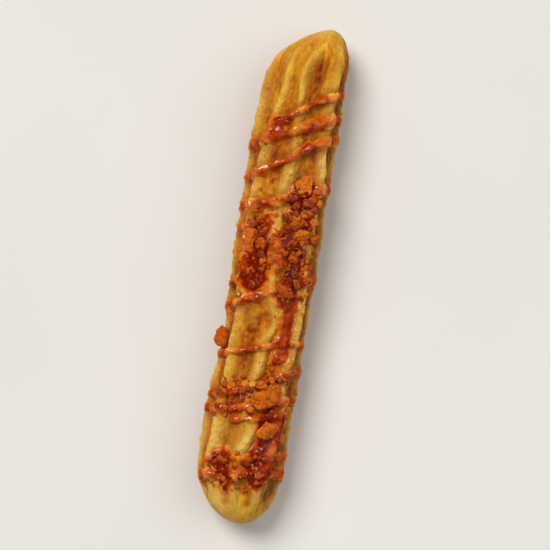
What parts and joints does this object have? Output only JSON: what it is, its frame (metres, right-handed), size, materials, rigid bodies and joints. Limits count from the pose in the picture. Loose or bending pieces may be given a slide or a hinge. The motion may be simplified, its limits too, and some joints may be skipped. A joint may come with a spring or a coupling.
{
  "type": "churro",
  "caption": "Fluted fried churro with rounded ends, drizzled crosswise with glossy caramel, with orange-brown biscuit crumbs and chunks stuck in the caramel.",
  "frame": {"origin": "middle of the flattened underside, halfway along the churro", "axes": "+Y along the churro towards its obliquely rounded end, +Z up from the flattened underside, +X to the right seen from above with +Y up"},
  "size_m": [0.0271, 0.146, 0.0233],
  "materials": {
    "dough": "fried crust with a faint oily sheen",
    "caramel": "glossy, slightly translucent sauce",
    "crumb": "dry, grainy biscuit"
  },
  "bodies": {
    "root": {"churro": "dough"}
  },
  "joints": []
}
